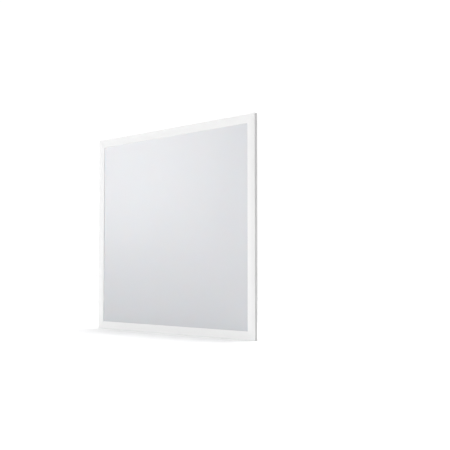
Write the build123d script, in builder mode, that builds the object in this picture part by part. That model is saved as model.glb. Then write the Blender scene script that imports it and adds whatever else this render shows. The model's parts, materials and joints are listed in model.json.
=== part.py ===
from build123d import *
from math import hypot, pi, radians, tan
import os

# A square back-lit ceiling panel light. It stands upright here: the light
# leaves toward -Y, the pressed rear cover faces +Y, and the bottom edge of
# the frame lies on Z = 0. Depths are counted from the front of the bezel
# toward the rear, offsets inward from the outer edge of the frame.

# ---- overall ----
panel_size = 595.0
panel_depth = 35.0
half = panel_size / 2
front_y = -panel_depth / 2

# ---- extruded frame rail ----
frame_depth = 11.0
bezel_width = 24.0
lip_thickness = 1.2
rail_width = 11.0
outer_wall = 1.4
inner_wall = 1.2
rear_wall = 0.9
rear_step_offset = 5.0
rear_step_drop = 0.5
bezel_edge_radius = 0.6
mitre_allowance = 1.0

# ---- staked points that hold the cover down ----
stake_positions = (-250, -171, -152, -50, 50, 152, 171, 250)
stake_width = 9.0
stake_reach = 6.4
stake_thickness = 0.9
stake_notch_back = 1.6

# ---- corner keys in the frame chamber ----
key_arm = 42.0
key_clearance = 0.15
key_chamfer = 1.0

# ---- parts trapped by the frame ----
pocket_clearance = 0.4
pocket_corner_radius = 2.0
diffuser_thickness = 1.6
gasket_thickness = 2.6
gasket_width = 8.6
flange_thickness = 0.6

# ---- pressed rear cover ----
sheet = 0.6
base_offset = 20.0
base_corner_radius = 12.0
plateau_offset = 43.8
plateau_corner_radius = 3.0
lattice_height = 1.0
plateau_depth = panel_depth - lattice_height
cover_edge_radius = 0.8

# ---- raised lattice of the cover ----
columns = 6
rows = 5
column_pitch = 73.8
row_pitch = 87.8
recess_width = 47.4
recess_height = 62.0
recess_radius = 3.0
lattice_half_width = 242.4
lattice_half_height = 240.0
lattice_chamfer = 9.5
notch_depth = 6.5
notch_angle = 54
lug_width = 21.6

# ---- light engine ----
board_width = 12.0
board_length = 402.0
board_thickness = 1.0
board_corner_radius = 1.5
tape_thickness = 0.2
tape_width = 10.0
led_width = 2.8
led_height = 3.5
led_thickness = 0.7
lens_radius = 7.5
lens_height = 5.0
lens_rim = 1.2
lens_cavity_radius = 2.6
lens_cavity_height = 2.0
film = 0.4
film_gap = 0.1
film_hole_radius = 7.9
film_wall_gap = 0.5

# ---- wiring ----
connector_width = 8.0
connector_height = 6.0
connector_thickness = 3.4
connector_offset = 194.0
connector_margin = 1.0
wire_radius = 0.7
wire_spacing = 2.4
wire_lift = 2.0
lead_track = 232.0
lead_start = 9.0
lead_landing = 18.0
lead_gap = 1.8
bend_share = 0.45

# ---- supply inlet and pilot holes on the side of the cover ----
inlet_along_slope = 0.82
inlet_head_radius = 3.2
inlet_head_height = 1.5
inlet_crown = 0.9
inlet_neck_radius = 2.3
inlet_lip_radius = 2.9
inlet_lip_height = 1.0
inlet_bore_radius = 1.4
pilot_along_slope = 0.34
pilot_spacing = 14.6
pilot_radius = 1.1

# ---- depths that follow from the stack ----
diffuser_back = lip_thickness + diffuser_thickness
gasket_back = diffuser_back + gasket_thickness
flange_back = gasket_back + flange_thickness
plateau_inside = plateau_depth - sheet
tape_front = plateau_inside - tape_thickness
board_front = tape_front - board_thickness
film_back = board_front - film_gap
film_front = film_back - film
pocket_half = half - rail_width - pocket_clearance
chamber_back = frame_depth - rear_step_drop - rear_wall
chamber_end = rail_width - inner_wall
wire_depth = film_front - wire_lift + wire_radius

# ---- the sloping side of the cover ----
base_half = half - base_offset
plateau_half = half - plateau_offset
slope_run = base_half - plateau_half
slope_rise = plateau_depth - flange_back
slope_length = hypot(slope_run, slope_rise)
run_per_depth = slope_run / slope_rise
sheet_shift = sheet * slope_length / slope_rise


def behind(depth):
    """Plane parallel to the panel, seen from behind, facing the rear."""
    return Plane(origin=(0, front_y + depth, half), x_dir=(-1, 0, 0), z_dir=(0, 1, 0))


def facing_front(depth):
    """Plane parallel to the panel, seen from the front, facing the front."""
    return Plane(origin=(0, front_y + depth, half), x_dir=(1, 0, 0), z_dir=(0, -1, 0))


def slope_half(depth, shift):
    """Half width of the sloping side at a depth, drawn in by a shift."""
    return base_half - shift - (depth - flange_back) * run_per_depth


def side_plane(along_slope, depth_below):
    """Plane on the sloping side, facing out, sunk below its surface."""
    depth = flange_back + along_slope * slope_rise
    out = slope_rise / slope_length
    back = slope_run / slope_length
    reach = slope_half(depth, 0) - depth_below * out
    level = front_y + depth - depth_below * back
    return Plane(origin=(-reach, level, half), x_dir=(0, 0, 1), z_dir=(-out, back, 0))


def square(half_width, depth, radius):
    """Rounded square on a plane parallel to the panel."""
    with BuildSketch(behind(depth)) as outline:
        RectangleRounded(2 * half_width, 2 * half_width, radius)
    return outline.sketch


def lattice(depth, inset):
    """Outline of the raised lattice with the notches between its lugs and its recesses."""
    width = lattice_half_width - inset
    height = lattice_half_height - inset
    spread = 2 * inset * tan(radians(notch_angle / 2)) + 2 * notch_depth / tan(radians(notch_angle))
    column_notch = column_pitch - lug_width + spread
    row_notch = row_pitch - lug_width + spread
    with BuildSketch(behind(depth)) as pattern:
        Rectangle(2 * width, 2 * height)
        chamfer(pattern.vertices(), lattice_chamfer)
        for side in (-1, 1):
            with Locations((0, side * height)):
                with GridLocations(column_pitch, 0, columns, 1):
                    Trapezoid(
                        column_notch,
                        2 * notch_depth,
                        notch_angle,
                        rotation=90 + side * 90,
                        mode=Mode.SUBTRACT,
                    )
            with Locations((side * width, 0)):
                with GridLocations(0, row_pitch, 1, rows):
                    Trapezoid(
                        row_notch,
                        2 * notch_depth,
                        notch_angle,
                        rotation=side * 90,
                        mode=Mode.SUBTRACT,
                    )
        with GridLocations(column_pitch, row_pitch, columns, rows):
            RectangleRounded(
                recess_width + 2 * inset,
                recess_height + 2 * inset,
                recess_radius,
                mode=Mode.SUBTRACT,
            )
    return pattern.sketch


# ---- frame rail: hollow box with a wide front lip, cut to mitres ----
with BuildPart() as rail:
    section = Plane(origin=(-half, front_y, 0), x_dir=(0, 1, 0), z_dir=(1, 0, 0))
    with BuildSketch(section) as rail_section:
        with BuildLine():
            Polyline(
                (0, 0),
                (frame_depth, 0),
                (frame_depth, rear_step_offset),
                (chamber_back + rear_wall, rear_step_offset),
                (chamber_back + rear_wall, rail_width),
                (lip_thickness, rail_width),
                (lip_thickness, bezel_width),
                (0, bezel_width),
                close=True,
            )
        make_face()
        fillet(rail_section.vertices().group_by(Axis.X)[0], bezel_edge_radius)
        with Locations(((lip_thickness + chamber_back) / 2, (outer_wall + chamber_end) / 2)):
            Rectangle(
                chamber_back - lip_thickness,
                chamber_end - outer_wall,
                mode=Mode.SUBTRACT,
            )
    extrude(amount=panel_size)

    # the notch each point was sheared out of, open to the rear
    with BuildSketch(behind(flange_back + stake_thickness)):
        for position in stake_positions:
            with Locations((position, rail_width - half - stake_notch_back / 2)):
                Rectangle(stake_width, stake_notch_back)
    extrude(amount=frame_depth, mode=Mode.SUBTRACT)

    # the points themselves, bent over the flange of the cover
    with BuildSketch(behind(flange_back)):
        root = rail_width - half
        for position in stake_positions:
            with BuildLine():
                Polyline(
                    (position - stake_width / 2, root),
                    (position + stake_width / 2, root),
                    (position, root + stake_reach),
                    close=True,
                )
            make_face()
    extrude(amount=stake_thickness)

    # mitre both ends
    with BuildSketch(behind(0)):
        with BuildLine():
            Polyline(
                (-half, -half),
                (half, -half),
                (half - bezel_width - mitre_allowance, bezel_width + mitre_allowance - half),
                (bezel_width + mitre_allowance - half, bezel_width + mitre_allowance - half),
                close=True,
            )
        make_face()
    extrude(amount=frame_depth, mode=Mode.INTERSECT)

# ---- corner key: solid angle that joins two rails inside their chambers ----
key_outer = half - outer_wall - key_clearance
key_inner = half - chamber_end + key_clearance
key_front = lip_thickness + key_clearance
key_back = chamber_back - key_clearance
with BuildPart() as corner_key:
    with BuildSketch(behind(key_front)):
        with BuildLine():
            Polyline(
                (key_outer, -key_outer),
                (key_outer, key_arm - key_outer),
                (key_inner, key_arm - key_outer),
                (key_inner, -key_inner),
                (key_outer - key_arm, -key_inner),
                (key_outer - key_arm, -key_outer),
                close=True,
            )
        make_face()
    extrude(amount=key_back - key_front)
    key_ends = corner_key.faces().filter_by(Axis.Z).sort_by(Axis.Z)[-1:]
    key_ends += corner_key.faces().filter_by(Axis.X).sort_by(Axis.X)[-1:]
    chamfer(key_ends.edges(), key_chamfer)

# ---- diffuser plate that closes the front ----
with BuildPart() as diffuser_plate:
    with BuildSketch(behind(lip_thickness)):
        RectangleRounded(2 * pocket_half, 2 * pocket_half, pocket_corner_radius)
    extrude(amount=diffuser_thickness)

# ---- foam gasket between the diffuser and the cover flange ----
with BuildPart() as edge_gasket:
    with BuildSketch(behind(diffuser_back)):
        RectangleRounded(2 * pocket_half, 2 * pocket_half, pocket_corner_radius)
        gasket_inner = 2 * (pocket_half - gasket_width)
        Rectangle(gasket_inner, gasket_inner, mode=Mode.SUBTRACT)
    extrude(amount=gasket_thickness)

# ---- rear cover: pressed tray with flange, sloping sides and lattice ----
inside_base = slope_half(gasket_back, sheet_shift)
inside_top = slope_half(plateau_inside, sheet_shift)
with BuildPart() as rear_cover:
    loft(
        sections=(
            square(base_half, flange_back, base_corner_radius),
            square(plateau_half, plateau_depth, plateau_corner_radius),
        )
    )
    plateau_rim = rear_cover.faces().sort_by(Axis.Y)[-1].edges()
    fillet(plateau_rim, cover_edge_radius)
    extrude(square(pocket_half, gasket_back, pocket_corner_radius), amount=flange_thickness)
    extrude(lattice(plateau_depth - sheet, 0), amount=lattice_height + sheet)
    loft(
        sections=(
            square(inside_base, gasket_back, base_corner_radius - sheet),
            square(inside_top, plateau_inside, plateau_corner_radius - sheet),
        ),
        mode=Mode.SUBTRACT,
    )
    extrude(lattice(plateau_inside, sheet), amount=lattice_height, mode=Mode.SUBTRACT)
    with Locations(side_plane(inlet_along_slope, 0)):
        Cylinder(inlet_neck_radius, 4 * sheet, mode=Mode.SUBTRACT)
    with Locations(side_plane(pilot_along_slope, 0)):
        with GridLocations(pilot_spacing, 0, 2, 1):
            Cylinder(pilot_radius, 4 * sheet, mode=Mode.SUBTRACT)

# ---- reflector: folded white film that lines the tray ----
film_base = slope_half(flange_back, sheet_shift + film_wall_gap)
film_top = slope_half(film_back, sheet_shift + film_wall_gap)
film_shift = film * slope_length / slope_rise
with BuildPart() as reflector:
    loft(
        sections=(
            square(film_base, flange_back, base_corner_radius - sheet),
            square(film_top, film_back, plateau_corner_radius - sheet),
        )
    )
    loft(
        sections=(
            square(film_base - film_shift, flange_back, base_corner_radius - sheet - film),
            square(
                slope_half(film_front, sheet_shift + film_wall_gap + film_shift),
                film_front,
                plateau_corner_radius - sheet - film,
            ),
        ),
        mode=Mode.SUBTRACT,
    )
    with BuildSketch(behind(film_front)):
        with GridLocations(column_pitch, row_pitch, columns, rows):
            Circle(film_hole_radius)
        with Locations((0, connector_offset)):
            with GridLocations(column_pitch, 0, columns, 1):
                Rectangle(
                    connector_width + 2 * connector_margin,
                    connector_height + 2 * connector_margin,
                )
    extrude(amount=film, mode=Mode.SUBTRACT)
    with Locations(side_plane(inlet_along_slope, sheet + film_wall_gap)):
        Cylinder(inlet_lip_radius + sheet, 4 * sheet, mode=Mode.SUBTRACT)

# ---- light strips: one board per column, bonded to the cover ----
with BuildPart() as light_strip:
    with BuildSketch(behind(board_front)):
        RectangleRounded(board_width, board_length, board_corner_radius)
    extrude(amount=board_thickness)

# ---- bonding tape behind each board ----
with BuildPart() as bonding_tapes:
    with BuildSketch(behind(tape_front)):
        with GridLocations(column_pitch, 0, columns, 1):
            Rectangle(tape_width, board_length)
    extrude(amount=tape_thickness)

# ---- light emitters, one behind each lens ----
with BuildPart() as emitters:
    with BuildSketch(behind(board_front - led_thickness)):
        with GridLocations(column_pitch, row_pitch, columns, rows):
            Rectangle(led_width, led_height)
    extrude(amount=led_thickness)

# ---- dome lenses that spread the light sideways ----
with BuildPart() as dome_lens:
    with BuildSketch(Plane.XZ):
        with BuildLine():
            Line((0, lens_cavity_height), (0, lens_height))
            TangentArc((0, lens_height), (lens_radius, lens_rim), tangent=(1, 0))
            Polyline(
                (lens_radius, lens_rim),
                (lens_radius, 0),
                (lens_cavity_radius, 0),
            )
            TangentArc((0, lens_cavity_height), (lens_cavity_radius, 0), tangent=(1, 0))
        make_face()
    revolve(axis=Axis.Z)

with BuildPart() as dome_lenses:
    with Locations(facing_front(board_front)):
        with GridLocations(column_pitch, row_pitch, columns, rows):
            add(dome_lens.part)

# ---- wire connectors, one at the upper end of each board ----
with BuildPart() as wire_connectors:
    with BuildSketch(behind(board_front - connector_thickness)):
        with Locations((0, connector_offset)):
            with GridLocations(column_pitch, 0, columns, 1):
                Rectangle(connector_width, connector_height)
    extrude(amount=connector_thickness)


# ---- link wires from each connector to the next ----
def link_wires(height):
    """Straight wires between the connectors, at a height on the panel."""
    with BuildPart(behind(wire_depth)) as wires:
        with Locations((0, height)):
            with GridLocations(column_pitch, 0, columns - 1, 1):
                Cylinder(wire_radius, column_pitch - connector_width, rotation=(0, 90, 0))
    return wires.part


# ---- supply leads from the inlet bush to the nearest connector ----
def spot(across, up, depth):
    """Point inside the panel, seen from behind."""
    return Vector(-across, front_y + depth, half + up)


def bend_radii(points):
    """Largest arc that fits at each corner of a route."""
    radii = []
    for before, corner, after in zip(points, points[1:], points[2:]):
        turn = radians((corner - before).get_angle(after - corner))
        shorter = min((corner - before).length, (after - corner).length)
        radii.append(bend_share * shorter / tan(turn / 2))
    return radii


def supply_lead(side):
    """Round wire from the bush to the first connector."""
    mouth = side_plane(inlet_along_slope, sheet + inlet_lip_height)
    start = mouth.origin + Vector(0, 0, side * lead_gap / 2)
    height = connector_offset + side * wire_spacing / 2
    track = lead_track + side * wire_spacing / 2
    route = [
        start,
        start - mouth.z_dir * lead_start,
        spot(track, lead_landing + side * wire_spacing / 2, wire_depth),
        spot(track, height, wire_depth),
        spot(column_pitch * (columns - 1) / 2 + connector_width / 2, height, wire_depth),
    ]
    radii = bend_radii(route)
    print("lead radii", [round(radius, 1) for radius in radii])
    with BuildPart() as lead:
        with BuildLine() as path:
            FilletPolyline(*route, radius=radii)
        with BuildSketch(Plane(origin=path.line @ 0, z_dir=path.line % 0)):
            Circle(wire_radius)
        sweep()
    expected = pi * wire_radius**2 * path.wires()[0].length
    print("lead volume", round(lead.part.volume, 1), "from its length", round(expected, 1))
    return lead.part


# ---- inlet bush: snap-in ring that the supply lead passes through ----
inlet_plane = side_plane(inlet_along_slope, 0)
inlet_axis = Axis(inlet_plane.origin, inlet_plane.z_dir)
with BuildPart(inlet_plane) as inlet_bush:
    Cylinder(inlet_head_radius, inlet_head_height, align=(Align.CENTER, Align.CENTER, Align.MIN))
    fillet(inlet_bush.faces().sort_by(inlet_axis)[-1].edges(), inlet_crown)
    Cylinder(
        inlet_neck_radius,
        sheet + inlet_lip_height,
        align=(Align.CENTER, Align.CENTER, Align.MAX),
    )
    with Locations((0, 0, -sheet)):
        Cylinder(
            inlet_lip_radius,
            inlet_lip_height,
            align=(Align.CENTER, Align.CENTER, Align.MAX),
        )
    Cylinder(inlet_bore_radius, 4 * inlet_head_height, mode=Mode.SUBTRACT)


# ---- write one file per piece ----
os.makedirs("parts", exist_ok=True)


def write(piece, label):
    """Label a piece and write its file."""
    piece.label = label
    export_step(piece, f"parts/{label}.step")


panel_axis = Axis((0, 0, half), (0, 1, 0))
rail_names = ("frame_bottom", "frame_left", "frame_top", "frame_right")
key_names = ("key_bottom_left", "key_top_left", "key_top_right", "key_bottom_right")
for quarter, (rail_name, key_name) in enumerate(zip(rail_names, key_names)):
    write(rail.part.rotate(panel_axis, 90 * quarter), rail_name)
    write(corner_key.part.rotate(panel_axis, 90 * quarter), key_name)

for column in range(columns):
    shift = (column - (columns - 1) / 2) * column_pitch
    write(light_strip.part.moved(Location((shift, 0, 0))), f"light_strip_{column + 1}")

diffuser_plate.part.label = "diffuser_plate"
export_step(diffuser_plate.part, "parts/diffuser_plate.step")
edge_gasket.part.label = "edge_gasket"
export_step(edge_gasket.part, "parts/edge_gasket.step")
rear_cover.part.label = "rear_cover"
export_step(rear_cover.part, "parts/rear_cover.step")
reflector.part.label = "reflector"
export_step(reflector.part, "parts/reflector.step")
bonding_tapes.part.label = "bonding_tapes"
export_step(bonding_tapes.part, "parts/bonding_tapes.step")
emitters.part.label = "emitters"
export_step(emitters.part, "parts/emitters.step")
dome_lenses.part.label = "dome_lenses"
export_step(dome_lenses.part, "parts/dome_lenses.step")
wire_connectors.part.label = "wire_connectors"
export_step(wire_connectors.part, "parts/wire_connectors.step")
inlet_bush.part.label = "inlet_bush"
export_step(inlet_bush.part, "parts/inlet_bush.step")

for side, pole in ((1, "plus"), (-1, "minus")):
    write(link_wires(connector_offset + side * wire_spacing / 2), f"link_wires_{pole}")
    write(supply_lead(side), f"supply_lead_{pole}")
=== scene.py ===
# %% [markdown]
# # A square back-lit ceiling panel light
#
# The light is a thin square box: a white mitred frame, an opal plate in front, and a pressed steel
# cover behind that holds six strips of light emitters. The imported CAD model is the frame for
# everything here. Each cell below explains one piece or one finish before it is made.
#
# Lengths are in metres. X runs across the panel, Z up its height, and the light leaves toward -Y.

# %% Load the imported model
import bmesh
import bpy
import json
from math import cos, pi, radians, sin, sqrt, tan
from mathutils import Matrix, Vector

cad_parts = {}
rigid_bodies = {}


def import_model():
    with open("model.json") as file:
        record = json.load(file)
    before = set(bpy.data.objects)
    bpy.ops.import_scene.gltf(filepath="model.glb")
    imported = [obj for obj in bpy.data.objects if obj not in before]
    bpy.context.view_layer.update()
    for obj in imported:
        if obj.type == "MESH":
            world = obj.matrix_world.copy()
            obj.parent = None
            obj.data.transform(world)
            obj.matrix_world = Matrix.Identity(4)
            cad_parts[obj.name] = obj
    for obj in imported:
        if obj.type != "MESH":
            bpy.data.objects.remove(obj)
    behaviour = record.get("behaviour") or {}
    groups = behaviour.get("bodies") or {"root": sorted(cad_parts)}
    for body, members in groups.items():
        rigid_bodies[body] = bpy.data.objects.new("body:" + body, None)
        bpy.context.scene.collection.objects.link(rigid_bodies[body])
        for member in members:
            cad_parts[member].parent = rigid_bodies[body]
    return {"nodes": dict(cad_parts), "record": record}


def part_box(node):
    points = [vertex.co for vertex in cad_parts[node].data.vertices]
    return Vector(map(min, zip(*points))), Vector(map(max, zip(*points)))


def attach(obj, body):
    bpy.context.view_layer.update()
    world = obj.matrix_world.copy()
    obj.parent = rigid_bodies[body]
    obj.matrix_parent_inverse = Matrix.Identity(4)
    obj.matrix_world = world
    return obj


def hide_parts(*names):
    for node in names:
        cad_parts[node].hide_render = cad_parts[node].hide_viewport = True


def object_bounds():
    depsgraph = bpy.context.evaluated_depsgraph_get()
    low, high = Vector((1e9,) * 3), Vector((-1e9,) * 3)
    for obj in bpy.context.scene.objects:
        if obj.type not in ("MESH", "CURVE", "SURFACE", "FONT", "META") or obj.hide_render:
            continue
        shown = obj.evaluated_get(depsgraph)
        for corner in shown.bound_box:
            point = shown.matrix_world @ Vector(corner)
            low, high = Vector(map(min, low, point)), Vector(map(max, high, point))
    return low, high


for leftover in list(bpy.data.objects):
    bpy.data.objects.remove(leftover)
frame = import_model()
cad_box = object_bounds()

low, high = cad_box
print("panel", [round(high[i] - low[i], 4) for i in range(3)], "m")

# %% [markdown]
# ## Measuring the frame
#
# Everything is placed from the CAD boxes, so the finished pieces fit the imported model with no
# adjusting. Two ways of counting are handy on a flat light: depth, from the front of the bezel
# toward the rear, and offset, inward from the outer edge.

# %% Driving sizes
MM = 0.001
size = high.x - low.x
half = size / 2
middle = Vector(((low.x + high.x) / 2, 0, (low.z + high.z) / 2))
front = low.y
total_depth = high.y - low.y

rail_low, rail_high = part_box("frame_bottom")
bezel_width = rail_high.z - rail_low.z
frame_depth = rail_high.y - rail_low.y

plate_low, plate_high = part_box("diffuser_plate")
pocket_half = (plate_high.x - plate_low.x) / 2
lip = plate_low.y - front
plate_thickness = plate_high.y - plate_low.y

cover_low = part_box("rear_cover")[0]
sheet = 0.6 * MM
flange_back = cover_low.y - front + sheet

rail_width = 11 * MM
outer_wall = 1.4 * MM
inner_wall = 1.2 * MM
rear_wall = 0.9 * MM
step_offset = 5 * MM
step_drop = 0.5 * MM

print("bezel", round(bezel_width / MM, 1), "frame depth", round(frame_depth / MM, 1))
print("lip", round(lip / MM, 2), "flange at", round(flange_back / MM, 2))

# %% [markdown]
# ## Helpers for finishes
#
# Each finish is a node material around one Principled shader. What varies over the surface comes
# from noise on Object coordinates: slow noise for colour, medium noise for gloss, and fine noise
# for the bump. What is the same all over is typed on the shader's own sockets.

# %% Material helpers
def new_finish(name, **sockets):
    """A material with one Principled shader whose sockets hold the constant values."""
    material = bpy.data.materials.new(name)
    material.use_nodes = True
    shader = material.node_tree.nodes["Principled BSDF"]
    for socket, value in sockets.items():
        shader.inputs[socket.replace("_", " ")].default_value = value
    return material


def add_node(material, kind, **sockets):
    """A node with some of its input sockets set or linked."""
    tree = material.node_tree
    node = tree.nodes.new(kind)
    for name, value in sockets.items():
        socket = node.inputs[name.replace("_", " ")]
        if isinstance(value, bpy.types.NodeSocket):
            tree.links.new(value, socket)
        else:
            socket.default_value = value
    return node


def object_noise(material, scale, detail=3.0, stretch=(1, 1, 1)):
    """Noise from 0 to 1 over the piece; scale is in waves per metre."""
    place = add_node(material, "ShaderNodeTexCoord").outputs["Object"]
    spread = add_node(material, "ShaderNodeMapping", Vector=place, Scale=stretch)
    noise = add_node(
        material, "ShaderNodeTexNoise", Vector=spread.outputs["Vector"], Scale=scale, Detail=detail
    )
    return noise.outputs["Fac"]


print("node helpers ready")


# %% Colour, gloss and relief helpers
def ramp(material, source, stops):
    """Colour ramp through (position, colour) stops."""
    node = add_node(material, "ShaderNodeValToRGB", Fac=source)
    points = node.color_ramp.elements
    for point, (position, colour) in zip(points, stops):
        point.position = position
        point.color = (*colour, 1)
    for position, colour in stops[2:]:
        points.new(position).color = (*colour, 1)
    return node.outputs["Color"]


def spread_value(material, source, lowest, highest):
    """The source stretched to run from lowest to highest."""
    node = add_node(material, "ShaderNodeMapRange", Value=source, To_Min=lowest, To_Max=highest)
    return node.outputs["Result"]


def plug(material, socket, source):
    """Link a source to one socket of the material's shader."""
    shader = material.node_tree.nodes["Principled BSDF"]
    material.node_tree.links.new(source, shader.inputs[socket])


def tint(material, source, stops):
    """Base colour that follows the source through colour stops."""
    plug(material, "Base Color", ramp(material, source, stops))


def dull(material, source, lowest, highest):
    """Roughness that follows the source between two values."""
    plug(material, "Roughness", spread_value(material, source, lowest, highest))


def bump(material, source, strength, height):
    """Fine relief of a given height, in metres."""
    node = add_node(material, "ShaderNodeBump", Height=source, Strength=strength, Distance=height)
    plug(material, "Normal", node.outputs["Normal"])


print("material helpers ready")

# %% [markdown]
# ## Powder coat
#
# The frame and the cover are sprayed with powder and baked. A baked coat is never quite flat: it
# has a fine ripple like the skin of an orange, about a millimetre from crest to crest, and its
# gloss drifts a little. The coat on the hidden rear cover is a cheaper, greyer and duller one.

# %% Powder coat materials
def powder_coat(name, light, shade, gloss, ripple):
    """Baked white paint between two close whites."""
    material = new_finish(name, IOR=1.4, Specular_IOR_Level=0.35)
    drift = object_noise(material, 9, detail=4)
    tint(material, drift, [(0.3, shade), (0.7, light)])
    patches = object_noise(material, 60, detail=5)
    dull(material, patches, *gloss)
    bump(material, object_noise(material, 850, detail=2), ripple, 0.12 * MM)
    return material


frame_paint = powder_coat(
    "frame powder coat",
    light=(0.735, 0.735, 0.733),
    shade=(0.72, 0.721, 0.722),
    gloss=(0.62, 0.72),
    ripple=0.12,
)
cover_paint = powder_coat(
    "cover powder coat",
    light=(0.68, 0.68, 0.685),
    shade=(0.655, 0.657, 0.662),
    gloss=(0.36, 0.5),
    ripple=0.2,
)
print("paints", frame_paint.name, "and", cover_paint.name)

# %% [markdown]
# ## Opal plate
#
# The diffuser is opal acrylic with a matt face. Light goes a little way into it before it comes
# back, so it has a soft depth that paint lacks. Its cool grey base colour is painted shade that
# stands in for the dark space behind the unlit plate. The grain of the matt face is finer than a
# tenth of a millimetre.

# %% Opal plate material
def opal_plate():
    """Matt opal acrylic, its grey base colour painted shade from the dark space behind it."""
    material = new_finish(
        "opal acrylic",
        IOR=1.49,
        Subsurface_Weight=0.25,
        Subsurface_Scale=1.2 * MM,
        Coat_Weight=1.0,
        Coat_Roughness=0.34,
    )
    drift = object_noise(material, 5, detail=2)
    # Painted shade: the cool grey base colour stands in for the dark space behind the unlit plate.
    tint(material, drift, [(0.3, (0.42, 0.428, 0.45)), (0.7, (0.428, 0.436, 0.458))])
    patches = object_noise(material, 45, detail=4)
    dull(material, patches, 0.3, 0.36)
    bump(material, object_noise(material, 3200, detail=1), 0.1, 0.04 * MM)
    return material


opal = opal_plate()
print("plate", opal.name)

# %% [markdown]
# ## Finishes of the inner pieces
#
# Closed in behind the plate are a foam gasket, a white film, circuit boards, lenses and wires.
# They are seen only when the light is opened or cut through in a drawing, but each still has the
# finish of its own material.

# %% Inner materials
def die_cast():
    """Bare zinc casting of the corner keys, with the grain of its mould."""
    material = new_finish("bare zinc casting", Metallic=1.0)
    grain = object_noise(material, 400, detail=6)
    tint(material, grain, [(0.2, (0.40, 0.41, 0.43)), (0.8, (0.60, 0.61, 0.62))])
    dull(material, grain, 0.35, 0.6)
    bump(material, grain, 0.3, 0.1 * MM)
    return material


def closed_foam():
    """Closed-cell foam strip, with open pores on its cut face, painted darker as painted shade in their
    hollows.
    """
    material = new_finish("closed-cell foam", Roughness=0.9)
    place = add_node(material, "ShaderNodeTexCoord").outputs["Object"]
    cells = add_node(material, "ShaderNodeTexVoronoi", Vector=place, Scale=1500).outputs["Distance"]
    # Painted shade: the pore centres are darker than the cell walls around them.
    tint(material, cells, [(0.1, (0.62, 0.62, 0.60)), (0.6, (0.83, 0.83, 0.80))])
    bump(material, cells, 0.6, 0.2 * MM)
    return material


def white_film():
    """Foamed white film that throws the light forward."""
    material = new_finish("reflector film", IOR=1.5)
    drift = object_noise(material, 14, detail=3)
    tint(material, drift, [(0.3, (0.92, 0.92, 0.92)), (0.7, (0.95, 0.95, 0.95))])
    dull(material, object_noise(material, 90), 0.55, 0.7)
    bump(material, object_noise(material, 700), 0.15, 0.05 * MM)
    return material


def solder_mask():
    """White solder mask, with the wide copper tracks just showing through it."""
    material = new_finish("white solder mask", Roughness=0.35, Coat_Weight=0.2)
    place = add_node(material, "ShaderNodeTexCoord").outputs["Object"]
    bands = add_node(material, "ShaderNodeTexWave", Vector=place, Scale=24, Distortion=0.4)
    tracks = bands.outputs["Fac"]
    tint(material, tracks, [(0.35, (0.84, 0.85, 0.83)), (0.42, (0.91, 0.92, 0.91))])
    bump(material, tracks, 0.3, 0.03 * MM)
    return material


def mottled(name, light, dark, gloss, scale=300, height=0.05, **sockets):
    """Moulded or drawn plastic: two close tones, a little drift in gloss, and a fine skin."""
    material = new_finish(name, **sockets)
    grain = object_noise(material, scale, detail=4)
    tint(material, grain, [(0.3, dark), (0.7, light)])
    dull(material, grain, *gloss)
    bump(material, object_noise(material, 4 * scale), 0.2, height * MM)
    return material


inner_finish = {
    "key_metal": die_cast(),
    "gasket_foam": closed_foam(),
    "reflector_film": white_film(),
    "board": solder_mask(),
    "tape": mottled("bonding tape", (0.82, 0.82, 0.78), (0.76, 0.76, 0.72), (0.5, 0.7)),
    "emitter": mottled("phosphor", (0.95, 0.84, 0.36), (0.90, 0.76, 0.26), (0.4, 0.5), scale=900),
    "lens": mottled(
        "clear lens", (0.96, 0.97, 0.98), (0.93, 0.95, 0.96), (0.04, 0.1),
        IOR=1.49, Transmission_Weight=0.9,
    ),
    "connector": mottled("natural nylon", (0.90, 0.90, 0.87), (0.85, 0.85, 0.81), (0.35, 0.5)),
    "wire_plus": mottled("red insulation", (0.62, 0.05, 0.04), (0.52, 0.04, 0.03), (0.3, 0.45)),
    "wire_minus": mottled("black insulation", (0.045, 0.045, 0.05), (0.03, 0.03, 0.033), (0.3, 0.45)),
    "bush": mottled("white nylon", (0.90, 0.90, 0.89), (0.85, 0.85, 0.84), (0.3, 0.45)),
}
print(len(inner_finish), "inner finishes")

# %% [markdown]
# ## Putting the finishes on the CAD pieces
#
# A piece that nobody sees from outside keeps its CAD shape and only takes its finish. The packed
# record says which slot each node belongs to, so the finishes are handed out in one loop.

# %% Finish the carried-over nodes
node_slot = {part["node"]: part["material_slot"] for part in frame["record"]["subparts"]}
for node_name, piece in frame["nodes"].items():
    finish = inner_finish.get(node_slot[node_name])
    if finish is None:
        continue
    piece.data.materials.clear()
    piece.data.materials.append(finish)
    print(node_name, "->", finish.name)

# %% [markdown]
# ## Helpers for pieces
#
# A piece is built as plain lists of points and faces, in the place where it belongs. One function
# turns those lists into an object, shades it smooth up to a given crease angle, and gives it its
# material. Another hangs the finished piece on the CAD model's body.

# %% Mesh helpers
def to_object(name, points, faces, material, crease=35):
    """A mesh object from points and faces, smooth except across creases."""
    mesh = bpy.data.meshes.new(name)
    mesh.from_pydata([tuple(point) for point in points], [], faces)
    mesh.materials.append(material)
    piece = bpy.data.objects.new(name, mesh)
    bpy.context.scene.collection.objects.link(piece)
    smooth(piece, crease)
    return piece


def smooth(piece, crease):
    """Shade smooth, with hard edges where faces meet at more than the crease angle."""
    for face in piece.data.polygons:
        face.use_smooth = True
    piece.data.set_sharp_from_angle(angle=radians(crease))


def face_outward(piece):
    """Point every face of a closed piece outward."""
    mesh = bmesh.new()
    mesh.from_mesh(piece.data)
    bmesh.ops.recalc_face_normals(mesh, faces=mesh.faces)
    mesh.to_mesh(piece.data)
    mesh.free()
    return piece


def settle(piece):
    """Turn a piece with modifiers into a plain mesh."""
    graph = bpy.context.evaluated_depsgraph_get()
    solid = bpy.data.meshes.new_from_object(piece.evaluated_get(graph))
    old = piece.data
    piece.modifiers.clear()
    piece.data = solid
    bpy.data.meshes.remove(old)
    return piece


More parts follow.
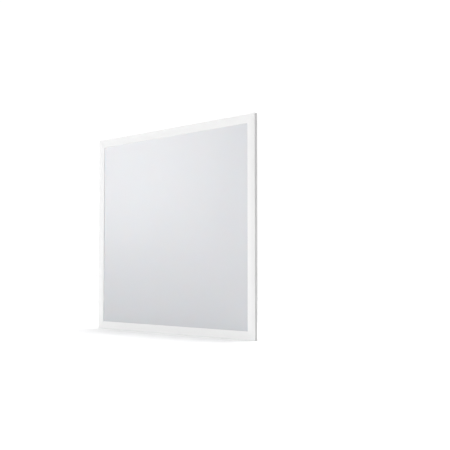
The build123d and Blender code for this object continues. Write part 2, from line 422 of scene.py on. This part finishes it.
def hang(piece, slot_name, *nodes):
    """Ride on the light's one body and stand for the CAD nodes."""
    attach(piece, "root")
    if nodes:
        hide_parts(*nodes)
    print(piece.name, len(piece.data.polygons), "faces")


def round_corners(corners, radius, steps):
    """A closed outline with each corner turned into a small arc of its own radius."""
    outline = []
    count = len(corners)
    for index, corner in enumerate(corners):
        here = Vector(corner)
        back = (Vector(corners[index - 1]) - here).normalized()
        ahead = (Vector(corners[(index + 1) % count]) - here).normalized()
        bend = radius[index]
        half_turn = back.angle(ahead) / 2
        centre = here + (back + ahead).normalized() * bend / sin(half_turn)
        start = (here + back * bend / tan(half_turn) - centre).normalized()
        end = (here + ahead * bend / tan(half_turn) - centre).normalized()
        for step in range(steps + 1):
            outline.append(centre + start.slerp(end, step / steps) * bend)
    return outline


print("mesh helpers ready")

# %% [markdown]
# ## The frame rails
#
# Each side of the frame is a length of one extruded profile: a thin front lip that is the bezel,
# and behind its outer part a hollow box that stiffens it. The ends are cut at 45 degrees and meet
# on keys inside the box. The profile is drawn once, with the small radii that the die leaves, and
# carried to both mitre cuts: a point that lies deeper inward ends that much earlier.

# %% Rail profile
mitre_gap = 0.04 * MM
lip_radius = 0.55 * MM
rim_radius = 0.4 * MM
inner_radius = 0.25 * MM
shelf_back = frame_depth - step_drop
profile_corners = [
    (0, 0),
    (frame_depth, 0),
    (frame_depth, step_offset),
    (shelf_back, step_offset),
    (shelf_back, rail_width),
    (lip, rail_width),
    (lip, bezel_width),
    (0, bezel_width),
]
profile_radii = [
    lip_radius, rim_radius, rim_radius, inner_radius, rim_radius, inner_radius, lip_radius, lip_radius,
]
profile = round_corners(profile_corners, profile_radii, steps=4)
print("profile points", len(profile))


# %% Rails
def on_panel(along, offset, depth, quarter):
    """Point on one side of the panel: along the side, inward from its edge, and behind the front."""
    flat = Vector((along, 0, offset - half))
    turned = Matrix.Rotation(quarter * pi / 2, 3, "Y") @ flat
    return Vector((middle.x + turned.x, front + depth, middle.z + turned.z))


def rail_mesh(name, quarter):
    """One mitred rail."""
    points = []
    for end in (-1, 1):
        for depth, offset in profile:
            along = end * (half - offset - mitre_gap)
            points.append(on_panel(along, offset, depth, quarter))
    count = len(profile)
    faces = [
        (i, (i + 1) % count, count + (i + 1) % count, count + i) for i in range(count)
    ]
    faces.append(tuple(reversed(range(count))))
    faces.append(tuple(range(count, 2 * count)))
    return to_object(name, points, faces, frame_paint)


rail_names = ("bottom", "left", "top", "right")
rails = [rail_mesh(f"{side}_rail", quarter) for quarter, side in enumerate(rail_names)]
print("rails", [piece.name for piece in rails])

# %% [markdown]
# ## The staked points
#
# Nothing is screwed: a press shears small darts out of the wall of the frame and folds them down
# over the flange of the cover. Eight sit along each rail, two of them close together on each
# half. The chamber of each rail and its notches are cut out with booleans, so the notches open into
# the dark hollow behind. The darts, all alike and still wearing the coat of the frame, are placed
# by Geometry Nodes on points that carry the way they should face.

# %% Chambers and notches in the rails
stake_places = [side * place * MM for side in (-1, 1) for place in (50, 152, 171, 250)]
stake_width = 9 * MM
stake_reach = 6.4 * MM
stake_thickness = 0.9 * MM
notch_back = 2.0 * MM
box_faces = [(0, 1, 2, 3), (7, 6, 5, 4)]
box_faces += [(i, i + 4, (i + 1) % 4 + 4, (i + 1) % 4) for i in range(4)]


def boxes(name, quarter, centres, width, offsets, depths):
    """Boxes along one side of the panel, to cut with."""
    points = []
    faces = []
    for centre in centres:
        first = len(points)
        for depth in depths:
            for along, offset in ((-1, 0), (1, 0), (1, 1), (-1, 1)):
                points.append(on_panel(centre + along * width / 2, offsets[offset], depth, quarter))
        faces += [tuple(first + corner for corner in face) for face in box_faces]
    return face_outward(to_object(name, points, faces, frame_paint))


def cut(piece, cutter):
    """Subtract the cutter and throw it away."""
    boolean = piece.modifiers.new("cut", "BOOLEAN")
    boolean.operation = "DIFFERENCE"
    boolean.solver = "EXACT"
    boolean.object = cutter
    settle(piece)
    bpy.data.objects.remove(cutter)


chamber_offsets = (outer_wall, rail_width - inner_wall)
chamber_depths = (lip, shelf_back - rear_wall)
notch_offsets = (rail_width - notch_back, rail_width + notch_back)
notch_depths = (flange_back + stake_thickness, frame_depth + lip)
for quarter, piece in enumerate(rails):
    cut(piece, boxes("chamber", quarter, [0], size, chamber_offsets, chamber_depths))
    cut(piece, boxes("notch", quarter, stake_places, stake_width, notch_offsets, notch_depths))
    smooth(piece, 35)
    hang(piece, "frame_paint", f"frame_{rail_names[quarter]}")


# %% One dart
dart_root = -1.2 * MM
dart_tip = 0.35 * MM
root_lift, tip_lift = 1.9 * MM, 0.05 * MM
dart_steps = 6
edge_thickness = 0.8 * stake_thickness
ridge = 1.25
section = ((-1, 0), (1, 0), (1, 1), (0, ridge), (-1, 1))


def dart_mesh():
    """A folded dart: root at the wall, sides drawn in to a point, tip bent down on the flange."""
    points = []
    for step in range(dart_steps + 1):
        share = step / dart_steps
        reach = dart_root + share * (stake_reach - dart_root)
        wide = stake_width / 2 * (1 - share) + dart_tip * share
        lift = tip_lift + (root_lift - tip_lift) * (1 - share) ** 3
        for side_way, up in section:
            points.append((side_way * wide, lift + up * edge_thickness, reach))
    count = len(section)
    faces = [tuple(reversed(range(count))), tuple(range(len(points) - count, len(points)))]
    for ring in range(dart_steps):
        for side in range(count):
            a = ring * count + side
            b = ring * count + (side + 1) % count
            faces.append((a, b, b + count, a + count))
    return face_outward(to_object("dart", points, faces, frame_paint, crease=50))


dart = dart_mesh()
print("dart faces", len(dart.data.polygons))


# %% Geometry Nodes helpers
def new_tree(name, inputs):
    """A Geometry Nodes tree with a geometry in and out, and named inputs."""
    tree = bpy.data.node_groups.new(name, "GeometryNodeTree")
    tree.is_modifier = True
    tree.interface.new_socket("Geometry", in_out="INPUT", socket_type="NodeSocketGeometry")
    tree.interface.new_socket("Geometry", in_out="OUTPUT", socket_type="NodeSocketGeometry")
    for socket, kind in inputs:
        tree.interface.new_socket(socket, in_out="INPUT", socket_type=kind)
    return tree, tree.nodes.new("NodeGroupInput"), tree.nodes.new("NodeGroupOutput")


def geo_node(tree, kind, settings=(), **sockets):
    """A node in a Geometry Nodes tree, with settings and with sockets set or linked."""
    node = tree.nodes.new(kind)
    for setting, value in settings:
        setattr(node, setting, value)
    for name, value in sockets.items():
        socket = node.inputs[name.replace("_", " ")]
        if isinstance(value, bpy.types.NodeSocket):
            tree.links.new(value, socket)
        else:
            socket.default_value = value
    return node


def run_tree(piece, tree, **values):
    """Give the piece the tree with its inputs set, and settle the result into a plain mesh."""
    modifier = piece.modifiers.new(tree.name, "NODES")
    modifier.node_group = tree
    for item in tree.interface.items_tree:
        key = item.name.replace(" ", "_")
        if item.in_out == "INPUT" and key in values:
            modifier[item.identifier] = values[key]
    return settle(piece)


print("tree helpers ready")

# %% Place the darts
stake_tree, given, result = new_tree(
    "Place staked points",
    [("Dart", "NodeSocketObject"), ("Coat", "NodeSocketMaterial")],
)
dart_info = geo_node(stake_tree, "GeometryNodeObjectInfo", Object=given.outputs["Dart"])
turn = geo_node(
    stake_tree, "GeometryNodeInputNamedAttribute", [("data_type", "FLOAT_VECTOR")], Name="turn"
)
placed = geo_node(
    stake_tree,
    "GeometryNodeInstanceOnPoints",
    Points=given.outputs["Geometry"],
    Instance=dart_info.outputs["Geometry"],
    Rotation=turn.outputs["Attribute"],
)
solid = geo_node(stake_tree, "GeometryNodeRealizeInstances", Geometry=placed.outputs["Instances"])
painted = geo_node(
    stake_tree, "GeometryNodeSetMaterial",
    Geometry=solid.outputs["Geometry"], Material=given.outputs["Coat"],
)
stake_tree.links.new(painted.outputs["Geometry"], result.inputs["Geometry"])

stake_points = []
stake_turns = []
for quarter in range(4):
    for place in stake_places:
        stake_points.append(on_panel(place, rail_width, flange_back, quarter))
        stake_turns += [0, quarter * pi / 2, 0]
stakes = to_object("staked_points", stake_points, [], frame_paint)
turns = stakes.data.attributes.new("turn", "FLOAT_VECTOR", "POINT")
turns.data.foreach_set("vector", stake_turns)
run_tree(stakes, stake_tree, Dart=dart, Coat=frame_paint)
bpy.data.objects.remove(dart)
smooth(stakes, 50)
hang(stakes, "frame_paint")

# %% [markdown]
# ## The opal plate
#
# The plate drops into the frame from behind and rests on the back of the lip, so the bezel stands
# a good millimetre proud of it and throws the thin line of shadow that frames the light. It is a
# cut sheet with its edges broken. The film of shadow depends on that step being real, so it is
# modelled and not painted.

# %% Diffuser plate
plate_break = 0.2 * MM
plate_corner = 2 * MM
plate_corners = [(-1, -1), (1, -1), (1, 1), (-1, 1)]


def plate_mesh():
    """Square plate with broken edges and small round corners."""
    layers = (
        (lip, pocket_half - plate_break),
        (lip + plate_break, pocket_half),
        (lip + plate_thickness - plate_break, pocket_half),
        (lip + plate_thickness, pocket_half - plate_break),
    )
    points = []
    for depth, reach in layers:
        corners = [(x * reach, z * reach) for x, z in plate_corners]
        for x, z in round_corners(corners, [plate_corner] * 4, steps=6):
            points.append((middle.x + x, front + depth, middle.z + z))
    count = len(points) // len(layers)
    faces = [tuple(range(count)), tuple(reversed(range(len(points) - count, len(points))))]
    for layer in range(len(layers) - 1):
        for side in range(count):
            a = layer * count + side
            b = layer * count + (side + 1) % count
            faces.append((a, a + count, b + count, b))
    return to_object("opal_plate", points, faces, opal)


plate = plate_mesh()
hang(plate, "diffuser", "diffuser_plate")

# %% [markdown]
# ## The rear cover as a flat-bottomed tray
#
# The cover is one sheet of steel, drawn in a press: a flat flange, four sides that lean in, and a
# flat back. At the corners the sides run together in a cone that starts wide at the flange and
# closes to almost a point at the back. Seen from behind, every spot of it has one depth, so the
# sheet is a grid of points lifted by a formula. The grid lines crowd together where the sheet
# bends and spread out where it is flat.

# %% Sizes of the tray
base_half = half - 20 * MM
plateau_half = half - 43.8 * MM
base_radius = 12 * MM
plateau_radius = 3 * MM
lattice_height = 1.0 * MM
plateau_back = total_depth - lattice_height
tray_rise = plateau_back - flange_back
tray_run = base_half - plateau_half
fold_radius = 2.2 * MM

columns, rows = 6, 5
column_pitch, row_pitch = 73.8 * MM, 87.8 * MM
recess_width, recess_height, recess_radius = 47.4 * MM, 62 * MM, 3 * MM
lattice_half_width, lattice_half_height = 242.4 * MM, 240 * MM
lattice_chamfer = 9.5 * MM
notch_depth, notch_slant = 6.5 * MM, 4.72 * MM
lug_width = 21.6 * MM
lattice_softness = 0.6 * MM
print("tray rises", round(tray_rise / MM, 2), "over", round(tray_run / MM, 2))


# %% Depth of the tray
def soft_low(first, second, blend):
    """The smaller of two values, rounded where they cross."""
    mix = max(blend - abs(first - second), 0) / blend
    return min(first, second) - mix * mix * blend / 4


def cone_share(x, z):
    """How far up a corner cone a point lies, from 0 at the flange to 1 at the back."""
    core = base_half - base_radius
    shift = plateau_half - plateau_radius - core
    shrink = base_radius - plateau_radius
    u, v = x - core, z - core
    a = 2 * shift * shift - shrink * shrink
    b = 2 * (base_radius * shrink - shift * (u + v))
    c = u * u + v * v - base_radius * base_radius
    return (-b + sqrt(max(b * b - 4 * a * c, 0))) / (2 * a)


def side_share(x, z):
    """How far up the leaning sides a point lies."""
    x, z = max(x, z), min(x, z)
    share = (base_half - x) / tray_run
    level = min(max(share, 0), 1)
    core = base_half - base_radius + level * (plateau_half - plateau_radius - base_half + base_radius)
    if z > core:
        share = cone_share(x, z)
    return share


def tray_depth(x, z):
    """Depth of the rear face of the sheet at a place on the panel."""
    climb = side_share(abs(x), abs(z)) * tray_rise
    climb = -soft_low(-climb, 0, fold_radius)
    return flange_back + soft_low(climb, tray_rise, fold_radius)


print("tray depth at the middle", round(tray_depth(0, 0) / MM, 2))


# %% Grid lines of the tray
fold_reach, fold_step = 2.4 * MM, 0.8 * MM
side_margin, side_step = 3 * MM, 2.6 * MM
lug_inset, lug_reach, lug_step = 4 * MM, 7.7 * MM, 1.1 * MM
recess_inset, recess_reach, recess_step = 0.6 * MM, 2.6 * MM, 0.87 * MM
flange_middle = 6 * MM
closest = 0.4 * MM


def crowd(centre, reach, step):
    """Lines close together around a bend."""
    count = round(2 * reach / step)
    return [centre - reach + index * 2 * reach / count for index in range(count + 1)]


def grid_lines(pitch, count, opening, outline):
    """Lines across one direction of the tray, from edge to edge."""
    places = [pocket_half, base_half + flange_middle]
    places += crowd(base_half, fold_reach, fold_step)
    places += crowd((base_half + plateau_half) / 2, tray_run / 2 - side_margin, side_step)
    places += crowd(plateau_half, fold_reach, fold_step)
    places += crowd(outline - lug_inset, lug_reach, lug_step)
    for index in range(count):
        centre = (index - (count - 1) / 2) * pitch
        for edge in (-1, 1):
            places += crowd(centre + edge * (opening / 2 - recess_inset), recess_reach, recess_step)
            places.append(centre + edge * (pitch - lug_width) / 2)
        places.append(centre)
    places = sorted({abs(place) for place in places})
    kept = []
    for place in places:
        if not kept or place - kept[-1] > closest:
            kept.append(place)
    lines = [-place for place in reversed(kept) if place > 0] + kept
    lines[0], lines[-1] = -pocket_half, pocket_half
    return lines


across = grid_lines(column_pitch, columns, recess_width, lattice_half_width)
upward = grid_lines(row_pitch, rows, recess_height, lattice_half_height)
print("grid", len(across), "by", len(upward))

# %% The plain tray
tray_points = []
for z in upward:
    for x in across:
        tray_points.append((middle.x + x, front + tray_depth(x, z), middle.z + z))
width = len(across)
tray_faces = []
for row in range(len(upward) - 1):
    for column in range(width - 1):
        a = row * width + column
        tray_faces.append((a, a + width, a + width + 1, a + 1))
cover = to_object("rear_cover_sheet", tray_points, tray_faces, cover_paint, crease=60)
print("tray", len(tray_points), "points")

# %% [markdown]
# ## Pressing the lattice
#
# The flat back is stiffened by a raised lattice: an outline with a notch beside each recess, so
# that every rib ends in a lug, and six by five recesses, one over each lens. The same distances
# repeat from rib to rib, so the relief is a rule and not a drawing, and Geometry Nodes can press
# it: for each point the nodes work out how far inside the lattice it lies, and lift it by a soft
# step. A small helper turns an ordinary formula into the chain of Math nodes.

# %% A formula in nodes
class Value:
    """A number in a node tree that can be used in an ordinary formula."""

    def __init__(self, tree, source):
        """Wrap a node's output socket."""
        self.tree = tree
        self.source = source

    def math(self, operation, *others):
        """One Math node, with numbers typed in and values linked."""
        node = self.tree.nodes.new("ShaderNodeMath")
        node.operation = operation
        for socket, part in zip(node.inputs, (self, *others)):
            if isinstance(part, Value):
                self.tree.links.new(part.source, socket)
            else:
                socket.default_value = part
        return Value(self.tree, node.outputs[0])

    def __add__(self, other):
        return self.math("ADD", other)

    def __sub__(self, other):
        return self.math("SUBTRACT", other)

    def __mul__(self, other):
        return self.math("MULTIPLY", other)

    def __truediv__(self, other):
        return self.math("DIVIDE", other)


def smallest(first, *others):
    """The smallest of several values."""
    for other in others:
        first = first.math("MINIMUM", other)
    return first


def largest(first, *others):
    """The largest of several values."""
    for other in others:
        first = first.math("MAXIMUM", other)
    return first


print("formula helper ready")

# %% The pressing tree
press_inputs = (
    "Centre Height", "Column Pitch", "Row Pitch", "Recess Width", "Recess Height", "Recess Radius",
    "Half Width", "Half Height", "Notch Depth", "Notch Slant", "Lug Width", "Chamfer", "Lift",
    "Softness",
)
press, given, result = new_tree(
    "Press lattice",
    [(name, "NodeSocketFloat") for name in press_inputs] + [("Paint", "NodeSocketMaterial")],
)
size_of = {name: Value(press, given.outputs[name]) for name in press_inputs}
place = geo_node(press, "GeometryNodeInputPosition").outputs["Position"]
parts = geo_node(press, "ShaderNodeSeparateXYZ", Vector=place)
x = Value(press, parts.outputs["X"])
z = Value(press, parts.outputs["Z"]) - size_of["Centre Height"]

wide, tall = x.math("ABSOLUTE"), z.math("ABSOLUTE")
nearest_column = smallest((wide / size_of["Column Pitch"]).math("FLOOR"), columns // 2 - 1) + 0.5
from_column = (wide - nearest_column * size_of["Column Pitch"]).math("ABSOLUTE")
nearest_row = smallest((tall / size_of["Row Pitch"]).math("ROUND"), rows // 2)
from_row = (tall - nearest_row * size_of["Row Pitch"]).math("ABSOLUTE")


def outside_recess():
    """Distance to the nearest recess, counted outward from its edge."""
    radius = size_of["Recess Radius"]
    far_x = from_column - size_of["Recess Width"] / 2 + radius
    far_z = from_row - size_of["Recess Height"] / 2 + radius
    over_x, over_z = largest(far_x, 0), largest(far_z, 0)
    corner = (over_x * over_x + over_z * over_z).math("SQRT")
    return corner + smallest(largest(far_x, far_z), 0) - radius


def outside_notch(inward, beside, pitch):
    """Distance to a notch whose sides lean together inward."""
    depth, slant = size_of["Notch Depth"], size_of["Notch Slant"]
    side = (depth * depth + slant * slant).math("SQRT")
    past = beside - (pitch - size_of["Lug Width"]) / 2
    return largest(inward - depth, (past * depth + inward * slant) / side)


from_side, from_end = size_of["Half Width"] - wide, size_of["Half Height"] - tall
inside_corner = (from_side + from_end - size_of["Chamfer"]) / sqrt(2)
inside = smallest(
    from_side,
    from_end,
    inside_corner,
    outside_notch(from_end, from_column, size_of["Column Pitch"]),
    outside_notch(from_side, from_row, size_of["Row Pitch"]),
    outside_recess(),
)

step = geo_node(press, "ShaderNodeMapRange", [("interpolation_type", "SMOOTHSTEP")])
press.links.new(inside.source, step.inputs["Value"])
press.links.new((size_of["Softness"] * -1).source, step.inputs["From Min"])
press.links.new(size_of["Softness"].source, step.inputs["From Max"])
lift = Value(press, step.outputs["Result"]) * size_of["Lift"]
push = geo_node(press, "ShaderNodeCombineXYZ", Y=lift.source)
moved = geo_node(
    press, "GeometryNodeSetPosition", Geometry=given.outputs["Geometry"], Offset=push.outputs["Vector"]
)
whole = geo_node(press, "GeometryNodeRealizeInstances", Geometry=moved.outputs["Geometry"])
painted = geo_node(
    press, "GeometryNodeSetMaterial", Geometry=whole.outputs["Geometry"], Material=given.outputs["Paint"]
)
press.links.new(painted.outputs["Geometry"], result.inputs["Geometry"])
print("pressing tree", len(press.nodes), "nodes")

# %% Press the sheet
run_tree(
    cover,
    press,
    Centre_Height=middle.z,
    Column_Pitch=column_pitch,
    Row_Pitch=row_pitch,
    Recess_Width=recess_width,
    Recess_Height=recess_height,
    Recess_Radius=recess_radius,
    Half_Width=lattice_half_width,
    Half_Height=lattice_half_height,
    Notch_Depth=notch_depth,
    Notch_Slant=notch_slant,
    Lug_Width=lug_width,
    Chamfer=lattice_chamfer,
    Lift=lattice_height,
    Softness=lattice_softness,
    Paint=cover_paint,
)
print("pressed depth", round(max(v.co.y for v in cover.data.vertices) - front, 5))

# %% [markdown]
# ## Thickness and holes
#
# The sheet gets its thickness toward the inside, so its rear face stays where the press left it.
# Three holes are then punched through one leaning side with booleans: one for the inlet bush,
# and two small pilot holes for a bracket, nearer the flange.

# %% Wall of the cover
wall = cover.modifiers.new("wall", "SOLIDIFY")
wall.thickness = sheet
wall.offset = -1
settle(cover)

lean = Vector((-tray_rise, tray_run, 0)).normalized()


def on_side(along, up):
    """Point on the leaning side that carries the inlet; along runs from flange to back."""
    reach = base_half - along * tray_run
    return Vector((middle.x - reach, front + flange_back + along * tray_rise, middle.z + up))


print("sheet", round(sheet / MM, 2), "thick, side leans", [round(part, 3) for part in lean])


# %% Turning and punching
def lathe(name, outline, base, axis, material, steps=32, crease=40):
    """Turn an outline of (radius, height) points round an axis."""
    turn = axis.to_track_quat("Z", "Y").to_matrix()
    points = []
    for step in range(steps):
        angle = 2 * pi * step / steps
        for radius, height in outline:
            spot = Vector((radius * cos(angle), radius * sin(angle), height))
            points.append(base + turn @ spot)
    count = len(outline)
    faces = []
    for step in range(steps):
        ahead = (step + 1) % steps
        for index in range(count):
            after = (index + 1) % count
            a, b = step * count + index, ahead * count + index
            c, d = ahead * count + after, step * count + after
            faces.append((a, b, c, d))
    return to_object(name, points, faces, material, crease)


def punch(along, up, radius):
    """Drive a round punch through the leaning side."""
    turn = lean.to_track_quat("Z", "Y").to_matrix()
    steps, reach = 24, 3 * MM
    points = []
    for height in (-reach, reach):
        for step in range(steps):
            angle = 2 * pi * step / steps
            spot = Vector((radius * cos(angle), radius * sin(angle), height))
            points.append(on_side(along, up) + turn @ spot)
    faces = [(i, (i + 1) % steps, steps + (i + 1) % steps, steps + i) for i in range(steps)]
    faces += [tuple(reversed(range(steps))), tuple(range(steps, 2 * steps))]
    cut(cover, to_object("punch", points, faces, cover_paint))


print("lathe and punch ready")

# %% Holes in the leaning side
inlet_place, pilot_place, pilot_spread = 0.82, 0.34, 7.3 * MM
inlet_neck, pilot_radius = 2.3 * MM, 1.1 * MM
punch(inlet_place, 0, inlet_neck)
punch(pilot_place, pilot_spread, pilot_radius)
punch(pilot_place, -pilot_spread, pilot_radius)
smooth(cover, 40)
hang(cover, "cover_paint", "rear_cover")

# %% [markdown]
# ## The inlet bush
#
# The low-voltage lead would enter through a small snap-in bush. It is a turned shape: a domed head
# outside, a neck as thick as the sheet, and a lip that snaps out behind it. Its section is drawn
# as a short outline, with quarter ovals for the dome, and turned round the axis of the hole.

# %% Inlet bush
bore_radius, snap_radius, head_radius, crown_radius = 1.4 * MM, 2.9 * MM, 3.2 * MM, 1.9 * MM
rim_height, mouth_height, crown_height = 0.5 * MM, 1.2 * MM, 1.5 * MM
snap_height, snap_break = 1.0 * MM, 0.3 * MM


def swell(edge, foot, steps):
    """Quarter of an oval from a vertical wall up to the crown of the head."""
    reach, rise = edge - crown_radius, crown_height - foot
    angles = [step * pi / 2 / steps for step in range(steps + 1)]
    return [(crown_radius + reach * cos(angle), foot + rise * sin(angle)) for angle in angles]


bush_outline = [
    (bore_radius, -sheet - snap_height),
    (snap_radius - snap_break, -sheet - snap_height),
    (snap_radius, -sheet - snap_height + snap_break),
    (snap_radius, -sheet),
    (inlet_neck, -sheet),
    (inlet_neck, 0),
    (head_radius, 0),
]
bush_outline += swell(head_radius, rim_height, steps=4)
bush_outline += reversed(swell(bore_radius, mouth_height, steps=2)[:-1])
bush = lathe("inlet_bush_ring", bush_outline, on_side(inlet_place, 0), lean, inner_finish["bush"])
hang(bush, "bush", "inlet_bush")

# %% [markdown]
# ## Studio
#
# The light stands on a pale floor that runs out of sight in every direction. In a product studio
# nearly all the light comes from large soft sources. Here a very wide lamp overhead, tipped a
# little from behind, lays the soft contact shade along the bottom edge, and a wide lamp in front,
# which casts no shadow, lifts the face. A soft box at the left front gives the plate its slow
# fall of light from corner to corner, one at the right rear models the side of the frame, and a
# narrow strip behind grazes the cover, so that a relief one millimetre high can be read.
# The world is split by Light Path: the camera sees a white backdrop, and the object is lit by
# a much dimmer one, so that the white backdrop doesn't wash out the shading.

# %% Floor
floor_reach = 14.0
floor_mesh = bpy.data.meshes.new("studio_floor")
floor_mesh.from_pydata(
    [(x * floor_reach, y * floor_reach, low.z) for x, y in ((-1, -1), (1, -1), (1, 1), (-1, 1))],
    [],
    [(0, 1, 2, 3)],
)
floor = bpy.data.objects.new("studio_floor", floor_mesh)
bpy.context.scene.collection.objects.link(floor)
floor_paint = new_finish("pale floor", Roughness=0.9, Specular_IOR_Level=0)
floor_tones = [(0, (0.98, 0.98, 0.98)), (1, (0.99, 0.99, 0.99))]
tint(floor_paint, object_noise(floor_paint, 2), floor_tones)
floor_mesh.materials.append(floor_paint)
print("floor", 2 * floor_reach, "m across")

# %% Light
def soft_box(name, place, target, width, height, power):
    """Rectangular area light aimed at a point."""
    data = bpy.data.lights.new(name, "AREA")
    data.shape = "RECTANGLE"
    data.size = width
    data.size_y = height
    data.energy = power
    lamp = bpy.data.objects.new(name, data)
    bpy.context.scene.collection.objects.link(lamp)
    lamp.location = place
    lamp.rotation_euler = (Vector(target) - Vector(place)).to_track_quat("-Z", "Y").to_euler()
    return lamp


def sky_lamp(name, bearing, height, strength, spread):
    """Very distant lamp, so wide that its shadows melt away; angles in degrees."""
    data = bpy.data.lights.new(name, "SUN")
    data.energy = strength
    data.angle = radians(spread)
    lamp = bpy.data.objects.new(name, data)
    bpy.context.scene.collection.objects.link(lamp)
    turn, rise = radians(bearing), radians(height)
    source = Vector((sin(turn) * cos(rise), -cos(turn) * cos(rise), sin(rise)))
    lamp.rotation_euler = source.to_track_quat("Z", "Y").to_euler()
    return lamp


heart = (0, 0, 0.35)
sky_lamp("overhead", bearing=165, height=83, strength=2.5, spread=34)
front_sky = sky_lamp("front_fill", bearing=-32, height=16, strength=2.2, spread=60)
front_sky.data.use_shadow = False
soft_box("left_front", place=(-1.75, -1.75, 0.95), target=heart, width=1.0, height=1.1, power=7.5)
soft_box("right_rear", place=(1.3, 0.9, 1.2), target=heart, width=0.8, height=0.8, power=3)
rear_strip = soft_box(
    "rear_strip", place=(0.28, 0.42, 0.36), target=(0.08, 0, 0.3), width=0.2, height=0.7, power=1.5
)
rear_strip.visible_camera = False

# %% World
backdrop_strength, dim_strength = 1.05, 0.07

world = bpy.data.worlds.new("studio")
bpy.context.scene.world = world
world.use_nodes = True
sky = world.node_tree
backdrop = sky.nodes["Background"]
backdrop.inputs["Color"].default_value = (1, 1, 1, 1)
backdrop.inputs["Strength"].default_value = backdrop_strength
dim = sky.nodes.new("ShaderNodeBackground")
dim.inputs["Color"].default_value = (0.97, 0.98, 1.0, 1)
dim.inputs["Strength"].default_value = dim_strength
seen = sky.nodes.new("ShaderNodeLightPath")
blend = sky.nodes.new("ShaderNodeMixShader")
sky.links.new(seen.outputs["Is Camera Ray"], blend.inputs["Fac"])
sky.links.new(dim.outputs["Background"], blend.inputs[1])
sky.links.new(backdrop.outputs["Background"], blend.inputs[2])
sky.links.new(blend.outputs["Shader"], sky.nodes["World Output"].inputs["Surface"])
bpy.context.scene.view_settings.view_transform = "Standard"
print("world nodes", len(sky.nodes))

# %% Camera
view_azimuth = 36.53
view_elevation = -2.12
view_distance = 1.6509
view_target = Vector((middle.x + 0.2004, front, low.z + 0.2445))
camera_data = bpy.data.cameras.new("camera")
camera_data.sensor_width = 36
camera_data.lens = 49.16
camera_data.shift_y = 0.0498
camera = bpy.data.objects.new("camera", camera_data)
bpy.context.scene.collection.objects.link(camera)
bearing, tilt = radians(view_azimuth), radians(view_elevation)
look_from = Vector((sin(bearing) * cos(tilt), -cos(bearing) * cos(tilt), sin(tilt)))
camera.location = view_target + look_from * view_distance
camera.rotation_euler = (-look_from).to_track_quat("-Z", "Y").to_euler()
bpy.context.scene.camera = camera
print("camera at", [round(value, 3) for value in camera.location])
